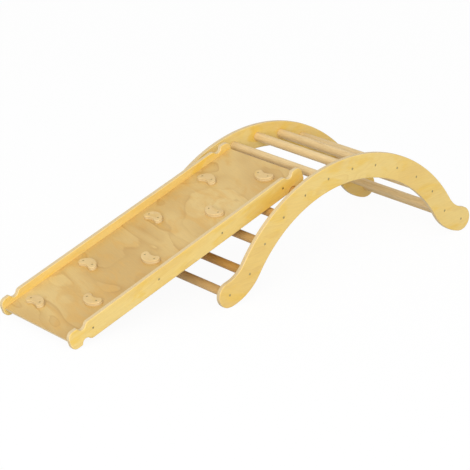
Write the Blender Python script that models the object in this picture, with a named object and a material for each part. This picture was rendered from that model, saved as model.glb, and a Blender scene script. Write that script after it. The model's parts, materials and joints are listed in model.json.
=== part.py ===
"""Wooden climbing set: a curved climbing arch with a climbing ramp hooked over one of its rungs.

Metres, +Z up. The floor is z = 0, the arch runs along X and its rungs lie along Y.
The ramp comes down on the -X side, and the near side panel is the one at -Y.
"""
import math

import bmesh
import bpy
from mathutils import Matrix, Vector

# Arch
ARCH_WIDTH = 0.450
PANEL_THICKNESS = 0.015
PANEL_BAND_WIDTH = 0.079
PANEL_EDGE_ROUNDING = 0.003
RUNG_RADIUS = 0.014
RUNG_EDGE_CHAMFER = 0.001
CROWN_RUNG_HEIGHT = 0.318
RUNG_CIRCLE_RADIUS = 0.479
END_RUNG_ANGLE = math.radians(59)
CURVE_RUNG_COUNT = 11
FOOT_RADIUS = 0.040
FOOT_FLAT_DEPTH = 0.0005
FOOT_SPLAY = 0.0484
FOOT_TOP_FILLET = 0.100
FOOT_UNDER_RADIUS = 0.172

# Ramp
RAMP_SIDE_SPACE = 0.039
RAMP_LENGTH = 0.920
RAMP_SEAT_RUNG = 5
RAIL_THICKNESS = 0.015
RAIL_HEIGHT = 0.058
RAIL_END_RADIUS = 0.020
RAIL_EDGE_ROUNDING = 0.003
NOTCH_FROM_END = 0.0515
NOTCH_SETBACK = 0.001
NOTCH_CLEARANCE = 0.0004
NOTCH_INNER_LIP = 0.015
NOTCH_OUTER_LIP = 0.006
BOARD_THICKNESS = 0.008
BOARD_END_SETBACK = 0.006

# Climbing holds, whose bows are measured from the line between the centres of their round ends
HOLD_LENGTH = 0.075
HOLD_END_RADIUS = 0.0125
HOLD_OUTER_BOW = 0.0245
HOLD_INNER_BOW = 0.0065
HOLD_THICKNESS = 0.012
HOLD_EDGE_ROUNDING = 0.003
HOLD_COLUMN_SPACING_SHARE = 0.505
HOLD_COLUMNS_ASIDE = 0.004
NEAR_HOLD_SHARES = (0.1785, 0.421, 0.700, 0.924)
FAR_HOLD_SHARES = (0.0735, 0.292, 0.576, 0.816)

# Fasteners
BOLT_HEAD_RADIUS = 0.004
BOLT_HEAD_HEIGHT = 0.002
BOLT_SHANK_RADIUS = 0.0025
BOLT_LENGTH = 0.050
BOLT_RECESS = 0.0006
RAIL_SCREW_HEAD_RADIUS = 0.0035
RAIL_SCREW_HEAD_HEIGHT = 0.002
RAIL_SCREW_SHANK_RADIUS = 0.0017
RAIL_SCREW_LENGTH = 0.040
RAIL_SCREW_RECESS = 0.0006
RAIL_SCREW_FROM_END = 0.084
RAIL_SCREW_COUNT = 4
TIP_ROOM = 0.002

# Clearances and facets
GAP = 0.0003
CUT_OVERRUN = 0.001
MERGE_DISTANCE = 0.000001
RUNG_SIDES = 16
HOLE_SIDES = 10
ARC_STEPS = 14
FILLET_STEPS = 6
LIP_STEPS = 3
ROUNDING_STEPS = 2

# Faces that meet more sharply than this keep a crisp edge
CRISP_ANGLE = math.radians(35)

# Finishes: linear colour, roughness and metallic value
BIRCH_PLY = ((0.790, 0.546, 0.188, 1), 0.45, 0)
BOARD_PLY = ((0.700, 0.456, 0.171, 1), 0.50, 0)
BEECH_DOWEL = ((0.753, 0.515, 0.262, 1), 0.50, 0)
HOLD_PLY = ((0.753, 0.578, 0.305, 1), 0.50, 0)
BRONZED_STEEL = ((0.230, 0.190, 0.110, 1), 0.40, 1)


def clear_scene():
    for item in list(bpy.data.objects):
        bpy.data.objects.remove(item, do_unlink=True)


def material(name, colour, roughness, metallic):
    made = bpy.data.materials.new(name)
    made.use_nodes = True
    surface = made.node_tree.nodes["Principled BSDF"]
    surface.inputs["Base Color"].default_value = colour
    surface.inputs["Roughness"].default_value = roughness
    surface.inputs["Metallic"].default_value = metallic
    return made


def place(name, mesh, finish, parent, location, turn=(0, 0, 0)):
    """Makes one named object from a mesh that other objects may share."""
    item = bpy.data.objects.new(name, mesh)
    bpy.context.collection.objects.link(item)
    item.parent = parent
    item.location = location
    item.rotation_euler = turn
    item.material_slots[0].link = "OBJECT"
    item.material_slots[0].material = material(name, *finish)
    return item


def empty(name, parent, location, turn=(0, 0, 0)):
    item = bpy.data.objects.new(name, None)
    bpy.context.collection.objects.link(item)
    item.parent = parent
    item.location = location
    item.rotation_euler = turn
    return item


def finish_mesh(bm, name):
    """Closes a bmesh into a named mesh with outward faces and one material slot."""
    bmesh.ops.remove_doubles(bm, verts=bm.verts, dist=MERGE_DISTANCE)
    bmesh.ops.recalc_face_normals(bm, faces=bm.faces)
    mesh = bpy.data.meshes.new(name)
    bm.to_mesh(mesh)
    bm.free()
    mesh.materials.append(None)
    mesh.shade_smooth()
    mesh.set_sharp_from_angle(angle=CRISP_ANGLE)
    return mesh


def turned(name, profile, sides):
    """Spins a profile of (radius, height) points about Z."""
    bm = bmesh.new()
    points = [bm.verts.new((radius, 0, height)) for radius, height in profile]
    edges = [bm.edges.new(pair) for pair in zip(points, points[1:])]
    bmesh.ops.spin(bm, geom=points + edges, cent=(0, 0, 0), axis=(0, 0, 1),
                   angle=math.tau, steps=sides, use_merge=True)
    return finish_mesh(bm, name)


def plate(name, outline, thickness, rounding, round_both):
    """Extrudes an (x, z) outline along Y, centred, and rounds its rims.

    With round_both false only the rim at +Y is rounded.
    """
    bm = bmesh.new()
    back = [bm.verts.new((x, thickness / 2, z)) for x, z in outline]
    first = bm.faces.new(back)
    made = bmesh.ops.extrude_face_region(bm, geom=[first])["geom"]
    front = [item for item in made if isinstance(item, bmesh.types.BMVert)]
    bmesh.ops.translate(bm, verts=front, vec=(0, -thickness, 0))
    rims = [edge for edge in bm.edges if is_rim(edge, thickness, round_both)]
    bmesh.ops.bevel(bm, geom=rims, offset=rounding, segments=ROUNDING_STEPS,
                    profile=0.5, affect="EDGES")
    return finish_mesh(bm, name)


def is_rim(edge, thickness, both):
    depths = [vert.co.y for vert in edge.verts]
    at_back = all(depth > thickness / 4 for depth in depths)
    at_front = all(depth < -thickness / 4 for depth in depths)
    return at_back or (both and at_front)


def hide_cutter(item):
    item.hide_render = True
    item.display_type = "WIRE"


def cut(target, cutter):
    modifier = target.modifiers.new(cutter.name, "BOOLEAN")
    modifier.operation = "DIFFERENCE"
    modifier.object = cutter


def gathered(name, piece, placings):
    """Joins placed copies of a mesh into one mesh of separate bodies, for cutting."""
    bm = bmesh.new()
    for placing in placings:
        copy = piece.copy()
        copy.transform(placing)
        bm.from_mesh(copy)
        bpy.data.meshes.remove(copy)
    return finish_mesh(bm, name)


def arc(centre, radius, start, end, way, steps):
    """Points from one bearing to another about a centre, anticlockwise for way 1 and clockwise for -1."""
    sweep = way * ((way * (end - start)) % math.tau)
    angles = [start + sweep * step / steps for step in range(steps + 1)]
    return [centre + radius * Vector((math.cos(a), math.sin(a))) for a in angles]


def cut_flat(points, level):
    """An outline with all that lies below a level cut away."""
    kept = []
    for here, there in zip(points, points[1:] + points[:1]):
        if here.y >= level:
            kept.append(here)
        if (here.y < level) != (there.y < level):
            kept.append(here.lerp(there, (level - here.y) / (there.y - here.y)))
    return kept


def bearing(centre, point):
    return math.atan2(point.y - centre.y, point.x - centre.x)


def meeting(first, first_radius, second, second_radius):
    """The crossing of two circles that lies to the left of the way from first to second."""
    apart = second - first
    along = (first_radius ** 2 - second_radius ** 2 + apart.length_squared) / (2 * apart.length)
    aside = math.sqrt(first_radius ** 2 - along ** 2)
    unit = apart.normalized()
    return first + along * unit + aside * Vector((-unit.y, unit.x))


# Where the rungs lie, as (x, z) seen from the near side
CIRCLE_CENTRE = Vector((0, CROWN_RUNG_HEIGHT - RUNG_CIRCLE_RADIUS))
FOOT_HEIGHT = FOOT_RADIUS - FOOT_FLAT_DEPTH
FOOT_REACH = RUNG_CIRCLE_RADIUS + FOOT_SPLAY
FOOT_X = math.sqrt(FOOT_REACH ** 2 - (FOOT_HEIGHT - CIRCLE_CENTRE.y) ** 2)
FOOT_CENTRE = Vector((FOOT_X, FOOT_HEIGHT))


def curve_rung(index):
    angle = END_RUNG_ANGLE * (2 * index / (CURVE_RUNG_COUNT - 1) - 1)
    return CIRCLE_CENTRE + RUNG_CIRCLE_RADIUS * Vector((math.sin(angle), math.cos(angle)))


RUNG_PLACES = [Vector((-FOOT_X, FOOT_HEIGHT))]
RUNG_PLACES += [curve_rung(index) for index in range(CURVE_RUNG_COUNT)]
RUNG_PLACES += [FOOT_CENTRE]

# How the ramp leans: its upper notches hold the seat rung and its lower ends stand on the floor
SEAT = RUNG_PLACES[RAMP_SEAT_RUNG - 1]
LOW_CORNER_REACH = RAMP_LENGTH - NOTCH_FROM_END - RAIL_END_RADIUS
LOW_CORNER_RISE = NOTCH_SETBACK + RAIL_END_RADIUS
LEAN = (math.asin((SEAT.y - RAIL_END_RADIUS) / math.hypot(LOW_CORNER_REACH, LOW_CORNER_RISE))
        + math.atan2(LOW_CORNER_RISE, LOW_CORNER_REACH))
TOP_CORNER_RISE = NOTCH_SETBACK + RAIL_HEIGHT - RAIL_END_RADIUS

# The set's own origin is on the floor, halfway along it
LEFT_END = (SEAT.x - LOW_CORNER_REACH * math.cos(LEAN) - TOP_CORNER_RISE * math.sin(LEAN)
            - RAIL_END_RADIUS)
RIGHT_END = FOOT_X + FOOT_RADIUS
ARCH_X = -(LEFT_END + RIGHT_END) / 2

# Places in the ramp's own frame: x up the slope from the seat, y across, z out of the board
RAMP_WIDTH = ARCH_WIDTH - 2 * PANEL_THICKNESS - 2 * RAMP_SIDE_SPACE
RAMP_LOW_X = NOTCH_FROM_END - RAMP_LENGTH
RAIL_MIDDLE_X = NOTCH_FROM_END - RAMP_LENGTH / 2
RAIL_MIDDLE_Z = NOTCH_SETBACK + RAIL_HEIGHT / 2
RAIL_Y = (RAMP_WIDTH - RAIL_THICKNESS) / 2
BOARD_WIDTH = RAMP_WIDTH - 2 * RAIL_THICKNESS - 2 * GAP
HOLD_COLUMN_Y = BOARD_WIDTH * HOLD_COLUMN_SPACING_SHARE / 2


def half_panel_outline():
    """One half of the side panel, from the crown's outer edge over the foot to its inner edge."""
    outer = RUNG_CIRCLE_RADIUS + PANEL_BAND_WIDTH / 2
    inner = RUNG_CIRCLE_RADIUS - PANEL_BAND_WIDTH / 2
    over = meeting(CIRCLE_CENTRE, outer + FOOT_TOP_FILLET, FOOT_CENTRE, FOOT_RADIUS + FOOT_TOP_FILLET)
    under = meeting(CIRCLE_CENTRE, inner + FOOT_UNDER_RADIUS, FOOT_CENTRE, FOOT_UNDER_RADIUS - FOOT_RADIUS)
    points = arc(CIRCLE_CENTRE, outer, math.pi / 2, bearing(CIRCLE_CENTRE, over), -1, ARC_STEPS)
    points += arc(over, FOOT_TOP_FILLET, bearing(over, CIRCLE_CENTRE), bearing(over, FOOT_CENTRE),
                  1, FILLET_STEPS)[1:]
    points += arc(FOOT_CENTRE, FOOT_RADIUS, bearing(FOOT_CENTRE, over), bearing(under, FOOT_CENTRE),
                  -1, ARC_STEPS)[1:]
    points += arc(under, FOOT_UNDER_RADIUS, bearing(under, FOOT_CENTRE), bearing(under, CIRCLE_CENTRE),
                  -1, FILLET_STEPS)[1:]
    points += arc(CIRCLE_CENTRE, inner, bearing(CIRCLE_CENTRE, under), math.pi / 2, 1, ARC_STEPS)[1:]
    return points


def side_panel_mesh():
    half = half_panel_outline()
    mirrored = [Vector((-point.x, point.y)) for point in reversed(half[1:-1])]
    outline = cut_flat(half + mirrored, 0)
    return plate("side_panel", outline, PANEL_THICKNESS, PANEL_EDGE_ROUNDING, True)


def rung_mesh():
    """A dowel with a pilot hole in each end for its bolt."""
    half = (ARCH_WIDTH - 2 * PANEL_THICKNESS) / 2 - GAP
    pilot = BOLT_SHANK_RADIUS + GAP
    hole_end = ARCH_WIDTH / 2 - BOLT_RECESS - BOLT_LENGTH - TIP_ROOM
    upper = [(0, hole_end), (pilot, hole_end), (pilot, half),
             (RUNG_RADIUS - RUNG_EDGE_CHAMFER, half), (RUNG_RADIUS, half - RUNG_EDGE_CHAMFER)]
    lower = [(radius, -height) for radius, height in reversed(upper)]
    return turned("rung", upper + lower, RUNG_SIDES)


def fastener_mesh(name, head_radius, head_height, shank_radius, length):
    """A countersunk fastener, its head's top at z = 0 and its shank down -Z."""
    profile = [(0, 0), (head_radius, 0), (shank_radius, -head_height), (shank_radius, -length), (0, -length)]
    return turned(name, profile, HOLE_SIDES)


def hole_mesh(name, recess, head_radius, head_height, shank_radius, depth):
    """What a fastener's hole takes away, from just above the face, z = 0, down to its depth."""
    wide = head_radius + GAP
    narrow = shank_radius + GAP
    profile = [(0, CUT_OVERRUN), (wide, CUT_OVERRUN), (wide, -recess),
               (narrow, -recess - head_height), (narrow, -depth), (0, -depth)]
    return turned(name, profile, HOLE_SIDES)


def facing(side):
    """Turns +Z to point out of the near side (-1) or the far side (1)."""
    return (-side * math.pi / 2, 0, 0)


def placing(x, y, z, side):
    return Matrix.Translation((x, y, z)) @ Matrix.Rotation(-side * math.pi / 2, 4, "X")


def rail_end_outline():
    """The end quarter of a rail: from the middle of its end, round the knob and over the notch."""
    end = RAMP_LENGTH / 2
    edge = RAIL_HEIGHT / 2
    corner = Vector((end - RAIL_END_RADIUS, edge - RAIL_END_RADIUS))
    notch = Vector((end - NOTCH_FROM_END, edge + NOTCH_SETBACK))
    notch_radius = RUNG_RADIUS + NOTCH_CLEARANCE
    outer_lip = lip_centre(notch, notch_radius, NOTCH_OUTER_LIP, 1)
    inner_lip = lip_centre(notch, notch_radius, NOTCH_INNER_LIP, -1)
    points = arc(corner, RAIL_END_RADIUS, 0, math.pi / 2, 1, FILLET_STEPS)
    points += arc(outer_lip, NOTCH_OUTER_LIP, math.pi / 2, bearing(outer_lip, notch), 1, LIP_STEPS)
    points += arc(notch, notch_radius, bearing(notch, outer_lip), bearing(notch, inner_lip),
                  -1, FILLET_STEPS)[1:]
    points += arc(inner_lip, NOTCH_INNER_LIP, bearing(inner_lip, notch), math.pi / 2, 1, LIP_STEPS)[1:]
    return points


def lip_centre(notch, notch_radius, lip, way):
    """Centre of the rounding between a rail's edge and its notch, on the end's side for way 1."""
    drop = NOTCH_SETBACK + lip
    return notch + Vector((way * math.sqrt((notch_radius + lip) ** 2 - drop ** 2), -drop))


def rail_mesh():
    quarter = rail_end_outline()
    upper = quarter + [Vector((-point.x, point.y)) for point in reversed(quarter)]
    outline = upper + [Vector((point.x, -point.y)) for point in reversed(upper)]
    return plate("ramp_rail", outline, RAIL_THICKNESS, RAIL_EDGE_ROUNDING, True)


def board_mesh():
    bm = bmesh.new()
    bmesh.ops.create_cube(bm, size=1)
    length = RAMP_LENGTH - 2 * BOARD_END_SETBACK
    bmesh.ops.scale(bm, vec=(length, BOARD_WIDTH, BOARD_THICKNESS), verts=bm.verts)
    return finish_mesh(bm, "ramp_board")


def hold_mesh():
    """A crescent: two round ends joined by an outer and an inner arc, with a rounded upper rim."""
    end_y = HOLD_LENGTH / 2 - HOLD_END_RADIUS
    spare = end_y ** 2 - HOLD_END_RADIUS ** 2
    outer = (spare + HOLD_OUTER_BOW ** 2) / (2 * (HOLD_OUTER_BOW - HOLD_END_RADIUS))
    inner = (spare + HOLD_INNER_BOW ** 2) / (2 * (HOLD_END_RADIUS - HOLD_INNER_BOW))
    outer_centre = Vector((outer - HOLD_OUTER_BOW, 0))
    inner_centre = Vector((inner + HOLD_INNER_BOW, 0))
    upper_end = Vector((0, end_y))
    lower_end = Vector((0, -end_y))
    points = arc(outer_centre, outer, bearing(outer_centre, upper_end), bearing(outer_centre, lower_end),
                 1, FILLET_STEPS)
    points += arc(lower_end, HOLD_END_RADIUS, bearing(outer_centre, lower_end),
                  bearing(lower_end, inner_centre), 1, FILLET_STEPS)[1:]
    points += arc(inner_centre, inner, bearing(inner_centre, lower_end), bearing(inner_centre, upper_end),
                  -1, LIP_STEPS)[1:]
    points += arc(upper_end, HOLD_END_RADIUS, bearing(upper_end, inner_centre),
                  bearing(outer_centre, upper_end), 1, FILLET_STEPS)[1:-1]
    mesh = plate("climbing_hold", points, HOLD_THICKNESS, HOLD_EDGE_ROUNDING, False)
    mesh.transform(Matrix.Rotation(math.pi / 2, 4, "X"))
    return mesh


def build_arch(parent):
    """Two side panels, thirteen rungs between them and a bolt through each panel into each rung."""
    panel = side_panel_mesh()
    rung = rung_mesh()
    bolt = fastener_mesh("panel_bolt", BOLT_HEAD_RADIUS, BOLT_HEAD_HEIGHT, BOLT_SHANK_RADIUS, BOLT_LENGTH)
    hole = hole_mesh("bolt_hole", BOLT_RECESS, BOLT_HEAD_RADIUS, BOLT_HEAD_HEIGHT, BOLT_SHANK_RADIUS,
                     PANEL_THICKNESS + CUT_OVERRUN)
    panel_y = (ARCH_WIDTH - PANEL_THICKNESS) / 2
    for side, word in ((-1, "near"), (1, "far")):
        face_y = side * ARCH_WIDTH / 2
        placings = [placing(at.x, face_y, at.y, side) for at in RUNG_PLACES]
        holes = gathered(f"bolt_holes_{word}", hole, placings)
        cutter = place(f"bolt_holes_{word}", holes, BIRCH_PLY, parent, (0, 0, 0))
        hide_cutter(cutter)
        item = place(f"side_panel_{word}", panel, BIRCH_PLY, parent, (0, side * panel_y, 0))
        cut(item, cutter)
        for number, at in enumerate(RUNG_PLACES, 1):
            place(f"bolt_{word}_{number:02}", bolt, BRONZED_STEEL, parent,
                  (at.x, side * (ARCH_WIDTH / 2 - BOLT_RECESS), at.y), facing(side))
    for number, at in enumerate(RUNG_PLACES, 1):
        place(f"rung_{number:02}", rung, BEECH_DOWEL, parent, (at.x, 0, at.y), facing(1))


def build_ramp(parent):
    """Two notched rails with the board between them, and four screws through each rail."""
    rail = rail_mesh()
    screw = fastener_mesh("rail_screw", RAIL_SCREW_HEAD_RADIUS, RAIL_SCREW_HEAD_HEIGHT,
                          RAIL_SCREW_SHANK_RADIUS, RAIL_SCREW_LENGTH)
    hole = hole_mesh("screw_hole", RAIL_SCREW_RECESS, RAIL_SCREW_HEAD_RADIUS, RAIL_SCREW_HEAD_HEIGHT,
                     RAIL_SCREW_SHANK_RADIUS, RAIL_SCREW_RECESS + RAIL_SCREW_LENGTH + TIP_ROOM)
    board = place("ramp_board", board_mesh(), BOARD_PLY, parent, (RAIL_MIDDLE_X, 0, RAIL_MIDDLE_Z))
    pitch = (RAMP_LENGTH - 2 * RAIL_SCREW_FROM_END) / (RAIL_SCREW_COUNT - 1)
    along = [RAMP_LOW_X + RAIL_SCREW_FROM_END + pitch * index for index in range(RAIL_SCREW_COUNT)]
    for side, word in ((-1, "near"), (1, "far")):
        face_y = side * RAMP_WIDTH / 2
        placings = [placing(x, face_y, RAIL_MIDDLE_Z, side) for x in along]
        holes = gathered(f"screw_holes_{word}", hole, placings)
        cutter = place(f"screw_holes_{word}", holes, BIRCH_PLY, parent, (0, 0, 0))
        hide_cutter(cutter)
        item = place(f"ramp_rail_{word}", rail, BIRCH_PLY, parent,
                     (RAIL_MIDDLE_X, side * RAIL_Y, RAIL_MIDDLE_Z))
        cut(item, cutter)
        cut(board, cutter)
        for number, x in enumerate(along, 1):
            place(f"rail_screw_{word}_{number}", screw, BRONZED_STEEL, parent,
                  (x, side * (RAMP_WIDTH / 2 - RAIL_SCREW_RECESS), RAIL_MIDDLE_Z), facing(side))


def build_holds(parent):
    """Two columns of crescent holds, the near ones bowed down the slope, the far ones up it."""
    hold = hold_mesh()
    z = RAIL_MIDDLE_Z + BOARD_THICKNESS / 2 + GAP + HOLD_THICKNESS / 2
    columns = ((-1, "near", NEAR_HOLD_SHARES, 0), (1, "far", FAR_HOLD_SHARES, math.pi))
    for side, word, shares, turn in columns:
        for number, share in enumerate(shares, 1):
            x = RAMP_LOW_X + share * RAMP_LENGTH
            place(f"hold_{word}_{number}", hold, HOLD_PLY, parent,
                  (x, HOLD_COLUMNS_ASIDE + side * HOLD_COLUMN_Y, z), (0, 0, turn))


def main():
    clear_scene()
    arch = empty("arch", None, (ARCH_X, 0, 0))
    build_arch(arch)
    ramp = empty("ramp", arch, (SEAT.x, 0, SEAT.y), (0, -LEAN, 0))
    build_ramp(ramp)
    build_holds(ramp)


main()
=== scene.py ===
"""The looks of a wooden climbing set: a curved climbing arch and the ramp hooked over one of its rungs.

Laid out as a Blender add-on and run as a script. Metres, +Z up, the floor at z = 0. The arch runs
along X with its rungs along Y, and the ramp comes down on the -X side. Every piece but the holds'
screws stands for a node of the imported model, and takes its place and main sizes from it.
"""
import json
import math

import bmesh
import bpy
from bpy.props import FloatProperty, FloatVectorProperty, PointerProperty
from mathutils import Matrix, Vector


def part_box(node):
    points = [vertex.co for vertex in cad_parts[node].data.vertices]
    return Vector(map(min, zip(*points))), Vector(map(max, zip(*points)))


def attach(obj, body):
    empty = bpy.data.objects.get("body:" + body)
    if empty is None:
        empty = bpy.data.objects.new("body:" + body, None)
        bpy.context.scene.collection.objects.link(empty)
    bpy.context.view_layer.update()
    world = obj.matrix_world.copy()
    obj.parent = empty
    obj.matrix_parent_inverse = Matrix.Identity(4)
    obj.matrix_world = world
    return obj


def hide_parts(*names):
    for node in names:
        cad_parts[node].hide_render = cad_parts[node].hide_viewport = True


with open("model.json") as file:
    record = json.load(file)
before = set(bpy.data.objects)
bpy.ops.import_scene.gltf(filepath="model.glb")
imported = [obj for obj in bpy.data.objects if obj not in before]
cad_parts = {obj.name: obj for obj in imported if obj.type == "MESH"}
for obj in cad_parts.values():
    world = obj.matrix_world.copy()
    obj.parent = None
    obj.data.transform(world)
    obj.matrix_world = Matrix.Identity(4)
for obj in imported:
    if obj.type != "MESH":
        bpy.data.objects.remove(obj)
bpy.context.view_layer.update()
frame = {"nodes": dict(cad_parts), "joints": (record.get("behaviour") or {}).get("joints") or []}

bl_info = {
    "name": "Wooden Climbing Set",
    "version": (1, 0, 0),
    "blender": (4, 5, 0),
    "location": "View3D > Sidebar > Climbing Set",
    "description": "Adds a plywood climbing arch and its ramp, with wood finishes and a white studio",
    "category": "Add Mesh",
}

QUARTER_TURN = math.pi / 2

# How finely round shapes are drawn
ARC_SPACING = 0.008
ARC_STEP = math.radians(7.5)
RUNG_SIDES = 64
HEAD_SIDES = 32
RIM_SEGMENTS = 4
RUNG_SEGMENTS = 3
EASING_SEGMENTS = 2

# The bend that shading keeps sharp, how near points are merged, and how nearly a face that is
# picked by its direction looks that way
CRISP_ANGLE = math.radians(32)
MERGE_DISTANCE = 0.000002
SQUARE_ON = 0.99

# Shares of a fastener's head height: the easing round its face, its socket and its recess's blades
BOLT_EASING = 1 / 12
SCREW_EASING = 1 / 14
SOCKET_DEPTH = 0.8
BLADE_HEIGHT = 1.4

# A blade's length and width as shares of the head's radius, and how far its foot and a screw's
# point narrow
BLADE_LENGTH = 1.2
BLADE_WIDTH = 0.3
BLADE_TAPER = 0.6
POINT_WIDTH = 0.2

# The sides of the set, as (sign of y, word in the names)
SIDES = ((-1, "near"), (1, "far"))

# How golden the veneer of each panel and rail is, which also sets its figure. The far ones are more golden
# partly as painted light, which brightens their inner faces where they lie in more shade
PANEL_TONES = {"near": 0.24, "far": 0.75}
RAIL_TONES = {"near": 0.24, "far": 0.66}

# How golden the board's veneer is, which also sets its figure
BOARD_TONE = 0.06

# The rungs under the ramp, with a darker tone that is painted shade for the ramp's shadow on them, how dark
# each is, and how much the tones of the other rungs differ
UNDER_RAMP_SHADE_TONES = {"rung_01": 0.7, "rung_02": 1.0, "rung_03": 0.75, "rung_04": 0.85, "rung_05": 1.0}
PALE_RUNG_SPREAD = 0.3

# How far apart in the wood's figure two pieces lie whose tones differ by 1
PLYWOOD_SPREAD = 7.0
DOWEL_SPREAD = 9.0

# The inputs that give a wood's figure, and the rungs' values for them
FIGURE_INPUTS = ("Figure Size", "Stretch", "Ring Count", "Waviness")
DOWEL_FIGURE = (0.03, 14.0, 7.0, 0.3)

# The plies of each kind of sheet, and how far the board's grain is turned from the ramp's length
THICK_SHEET_PLIES = 9
THIN_SHEET_PLIES = 5
BOARD_GRAIN = math.radians(79)

# How dark a ring is on its way from early to late wood, as (place, grey)
RING_STOPS = ((0.0, 0.05), (0.45, 0.2), (0.75, 0.5), (0.9, 1.0), (1.0, 0.05))

# How nodes are laid out in a tree
NODE_COLUMNS = 12
NODE_WIDTH = 220
NODE_HEIGHT = 260

# The stage: the floor's side, and how many times its own distance the camera sees
FLOOR_SIZE = 40
SIGHT_MULTIPLE = 10
WHITE = (1, 1, 1, 1)


def box_in(node, placing):
    """A node's lowest and highest corner, measured in a placed frame."""
    inverse = placing.inverted()
    points = [inverse @ vert.co for vert in frame["nodes"][node].data.vertices]
    low = Vector(min(point[axis] for point in points) for axis in range(3))
    high = Vector(max(point[axis] for point in points) for axis in range(3))
    return low, high


def middle_in(node, placing):
    low, high = box_in(node, placing)
    return (low + high) / 2


def nodes_named(start):
    return sorted(name for name in frame["nodes"] if name.startswith(start))


def moved(x, y, z):
    return Matrix.Translation((x, y, z))


def turned(turn, axis):
    return Matrix.Rotation(turn, 4, axis)


# Frames: the arch stands upright, and the ramp leans on its seat rung
PANEL_LOW, PANEL_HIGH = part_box("side_panel_near")
PANEL_THICKNESS = PANEL_HIGH.y - PANEL_LOW.y
HALF_WIDTH = -PANEL_LOW.y
ARCH = moved((PANEL_LOW.x + PANEL_HIGH.x) / 2, 0, 0)
WORLD = Matrix.Identity(4)
LIFT_AXIS = Vector(frame["joints"][0]["axis"])
LEAN = math.atan2(-LIFT_AXIS.x, LIFT_AXIS.z)
RAMP = Matrix.Translation(middle_in("rung_05", WORLD)) @ turned(-LEAN, "Y")

# Boxes of the main pieces in those frames, and what follows from them
RUNG_LOW, RUNG_HIGH = box_in("rung_07", ARCH)
FOOT_RUNG = middle_in("rung_13", ARCH)
RAIL_LOW, RAIL_HIGH = box_in("ramp_rail_near", RAMP)
BOARD_LOW, BOARD_HIGH = box_in("ramp_board", RAMP)
HOLD_LOW, HOLD_HIGH = box_in("hold_near_1", RAMP)
BOLT_LOW, BOLT_HIGH = box_in("bolt_near_01", ARCH)
SCREW_LOW, SCREW_HIGH = box_in("rail_screw_near_1", RAMP)
RAIL_THICKNESS = RAIL_HIGH.y - RAIL_LOW.y
HOLD_THICKNESS = HOLD_HIGH.z - HOLD_LOW.z
RAMP_HALF_WIDTH = -RAIL_LOW.y
PANEL_MIDDLE = Vector((0, PANEL_THICKNESS / 2 - HALF_WIDTH, 0))
RAIL_MIDDLE = (RAIL_LOW + RAIL_HIGH) / 2
BOARD_MIDDLE = (BOARD_LOW + BOARD_HIGH) / 2
BOLT_RECESS = BOLT_LOW.y + HALF_WIDTH
SCREW_RECESS = SCREW_LOW.y + RAMP_HALF_WIDTH

# Each plywood: a frame with its grain along x and its thickness along z, the start of its colours'
# names, its figure, the strength of its rings and its roughness, and its sheets: how far their
# middles lie from z = 0, how thick they are, and their number of plies
PLYWOODS = {
    "panel_plywood": (ARCH @ turned(QUARTER_TURN, "X"), "veneer", (0.11, 2.5, 9.0, 0.8), 0.35, 0.42,
                      -PANEL_MIDDLE.y, PANEL_THICKNESS, THICK_SHEET_PLIES),
    "rail_plywood": (RAMP @ turned(QUARTER_TURN, "X"), "veneer", (0.07, 4.0, 8.0, 0.6), 0.35, 0.42,
                     -RAIL_MIDDLE.y, RAIL_THICKNESS, THICK_SHEET_PLIES),
    "board_plywood": (RAMP @ turned(BOARD_GRAIN, "Z"), "board", (0.13, 2.2, 7.0, 0.4), 0.6, 0.5,
                      BOARD_MIDDLE.z, BOARD_HIGH.z - BOARD_LOW.z, THIN_SHEET_PLIES),
    "hold_plywood": (RAMP @ turned(QUARTER_TURN, "Z"), "hold", (0.05, 3.0, 6.0, 0.4), 0.5, 0.5,
                     (HOLD_LOW.z + HOLD_HIGH.z) / 2, HOLD_THICKNESS, THIN_SHEET_PLIES),
}


def length(label, text, default):
    return FloatProperty(name=label, description=text, default=default, unit="LENGTH", subtype="DISTANCE",
                         min=0, precision=4)


def amount(label, text, default, unit="NONE"):
    return FloatProperty(name=label, description=text, default=default, unit=unit, min=0)


def share(label, text, default):
    return FloatProperty(name=label, description=text, default=default, min=0, max=1, subtype="FACTOR")


def angle(label, text, default):
    return FloatProperty(name=label, description=text, default=math.radians(default), subtype="ANGLE",
                         unit="ROTATION")


def colour(label, text, default):
    return FloatVectorProperty(name=label, description=text, default=default, size=3, min=0, max=1,
                               subtype="COLOR")


class ArchSizes(bpy.types.PropertyGroup):
    band_width: length("Band width", "Width of the side panel's curved band", 0.079)
    circle_radius: length("Circle radius", "Radius of the circle that the upper rungs lie on", 0.479)
    foot_radius: length("Foot radius", "Radius of the side panel's rounded foot", 0.040)
    top_fillet: length("Top fillet", "Radius of the hollow above the foot", 0.100)
    under_radius: length("Under radius", "Radius of the belly under the foot", 0.172)
    rim_rounding: length("Rim rounding", "Rounding of the side panel's rims", 0.003)
    rung_radius: length("Rung radius", "Radius of a rung", (RUNG_HIGH.z - RUNG_LOW.z) / 2)
    rung_rounding: length("Rung rounding", "Rounding of a rung's ends", 0.001)


class RampSizes(bpy.types.PropertyGroup):
    end_radius: length("End radius", "Radius of the rail's end corners", 0.020)
    notch_from_end: length("Notch from end", "From a rail's end to its notch's middle", 0.0515)
    notch_setback: length("Notch setback", "How far the notch's middle lies outside the rail", 0.001)
    notch_clearance: length("Notch clearance", "Room between a notch and its rung", 0.0004)
    inner_lip: length("Inner lip", "Rounding of the notch's edge towards the rail's middle", 0.015)
    outer_lip: length("Outer lip", "Rounding of the notch's edge towards the rail's end", 0.006)
    rim_rounding: length("Rim rounding", "Rounding of the rail's rims", 0.003)
    board_rounding: length("Board rounding", "Easing of the board's edges", 0.0007)


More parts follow.
